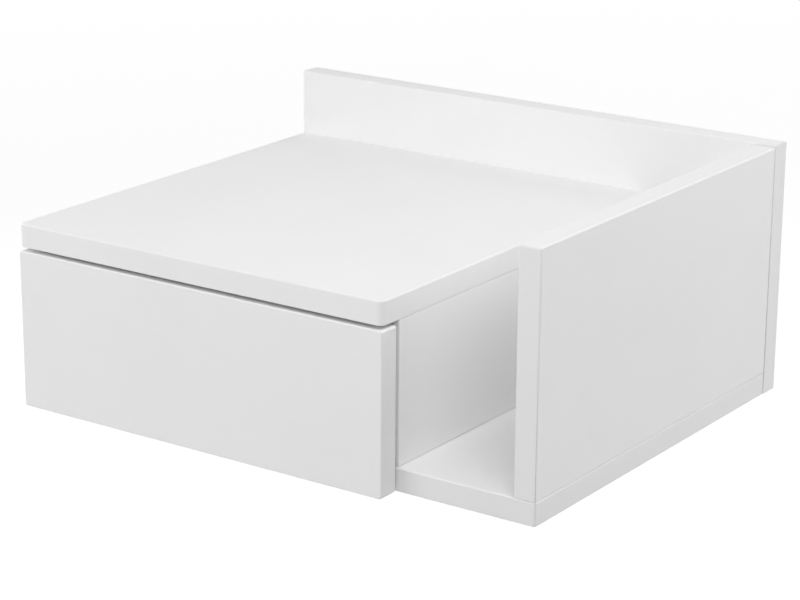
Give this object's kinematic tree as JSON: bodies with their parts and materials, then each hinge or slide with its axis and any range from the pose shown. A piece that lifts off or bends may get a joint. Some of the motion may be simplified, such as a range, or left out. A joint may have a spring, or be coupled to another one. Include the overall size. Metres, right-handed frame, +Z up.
{
  "type": "floating nightstand",
  "caption": "Wall-hung bedside unit of white lacquered boards with a handle-less drawer on roller runners, an open slot beside it and an upstand along the back.",
  "frame": {"origin": "on the wall plane at the rear of the back panel, midway between the two keyhole hangers, where the wall screws' shanks rest", "axes": "+X to the viewer's right seen from the front, +Y into the wall, +Z up"},
  "size_m": [0.37, 0.31, 0.165],
  "materials": {
    "lacquer": "satin white lacquer on board, eased edges",
    "box_board": "white melamine on board",
    "hardboard": "white-faced hardboard",
    "white_steel": "white epoxy powder coat on 1.2 mm steel",
    "nylon": "off-white moulded nylon",
    "zinc": "bright zinc plate",
    "silicone": "soft clear silicone"
  },
  "bodies": {
    "carcass": {"back_panel": "lacquer", "bottom_panel": "lacquer", "top_panel": "lacquer", "left_side_panel": "lacquer", "divider_panel": "lacquer", "right_side_panel": "lacquer", "cabinet_runner_left": "white_steel", "cabinet_runner_right": "white_steel", "front_roller_pin_left": "zinc", "front_roller_pin_right": "zinc", "cabinet_runner_screw_left_front": "zinc", "cabinet_runner_screw_left_rear": "zinc", "cabinet_runner_screw_right_front": "zinc", "cabinet_runner_screw_right_rear": "zinc", "hanger_plate_left": "zinc", "hanger_plate_right": "zinc", "hanger_screw_left_upper": "zinc", "hanger_screw_left_lower": "zinc", "hanger_screw_right_upper": "zinc", "hanger_screw_right_lower": "zinc", "bottom_screw_left_front": "zinc", "bottom_screw_left_rear": "zinc", "bottom_screw_divider_front": "zinc", "bottom_screw_divider_rear": "zinc", "bottom_screw_right_front": "zinc", "bottom_screw_right_rear": "zinc", "back_screw_top_left": "zinc", "back_screw_top_right": "zinc", "back_screw_bottom_left": "zinc", "back_screw_bottom_right": "zinc", "back_screw_side_lower": "zinc", "back_screw_side_upper": "zinc", "cam_lock_left_front": "zinc", "cam_lock_left_rear": "zinc", "cam_lock_divider_front": "zinc", "cam_lock_divider_rear": "zinc", "cam_bolt_left_front": "zinc", "cam_bolt_left_rear": "zinc", "cam_bolt_divider_front": "zinc", "cam_bolt_divider_rear": "zinc", "bumper_left": "silicone", "bumper_right": "silicone"},
    "drawer": {"drawer_front": "lacquer", "drawer_side_left": "box_board", "drawer_side_right": "box_board", "drawer_back": "box_board", "drawer_bottom": "hardboard", "drawer_runner_left": "white_steel", "drawer_runner_right": "white_steel", "rear_roller_pin_left": "zinc", "rear_roller_pin_right": "zinc", "drawer_runner_screw_left_front": "zinc", "drawer_runner_screw_left_rear": "zinc", "drawer_runner_screw_right_front": "zinc", "drawer_runner_screw_right_rear": "zinc"},
    "front_roller_left": {"front_roller_left": "nylon"},
    "front_roller_right": {"front_roller_right": "nylon"},
    "rear_roller_left": {"rear_roller_left": "nylon"},
    "rear_roller_right": {"rear_roller_right": "nylon"}
  },
  "joints": [
    {"name": "drawer_slide", "type": "slide", "parent": "carcass", "child": "drawer", "axis": [0, -1, 0], "range_m": [0, 0.19]},
    {"name": "front_roller_left_spin", "type": "hinge", "parent": "carcass", "child": "front_roller_left", "pos_m": [-0.1656, -0.2805, -0.1044], "axis": [1, 0, 0], "continuous": true},
    {"name": "front_roller_right_spin", "type": "hinge", "parent": "carcass", "child": "front_roller_right", "pos_m": [0.0716, -0.2805, -0.1044], "axis": [1, 0, 0], "continuous": true},
    {"name": "rear_roller_left_spin", "type": "hinge", "parent": "drawer", "child": "rear_roller_left", "pos_m": [-0.1619, -0.055, -0.1036], "axis": [1, 0, 0], "continuous": true},
    {"name": "rear_roller_right_spin", "type": "hinge", "parent": "drawer", "child": "rear_roller_right", "pos_m": [0.0679, -0.055, -0.1036], "axis": [1, 0, 0], "continuous": true}
  ],
  "couplings": [
    {"joint": "front_roller_left_spin", "follows": "drawer_slide", "rad_per_m": 125},
    {"joint": "front_roller_right_spin", "follows": "drawer_slide", "rad_per_m": 125},
    {"joint": "rear_roller_left_spin", "follows": "drawer_slide", "rad_per_m": 113.64},
    {"joint": "rear_roller_right_spin", "follows": "drawer_slide", "rad_per_m": 113.64}
  ]
}
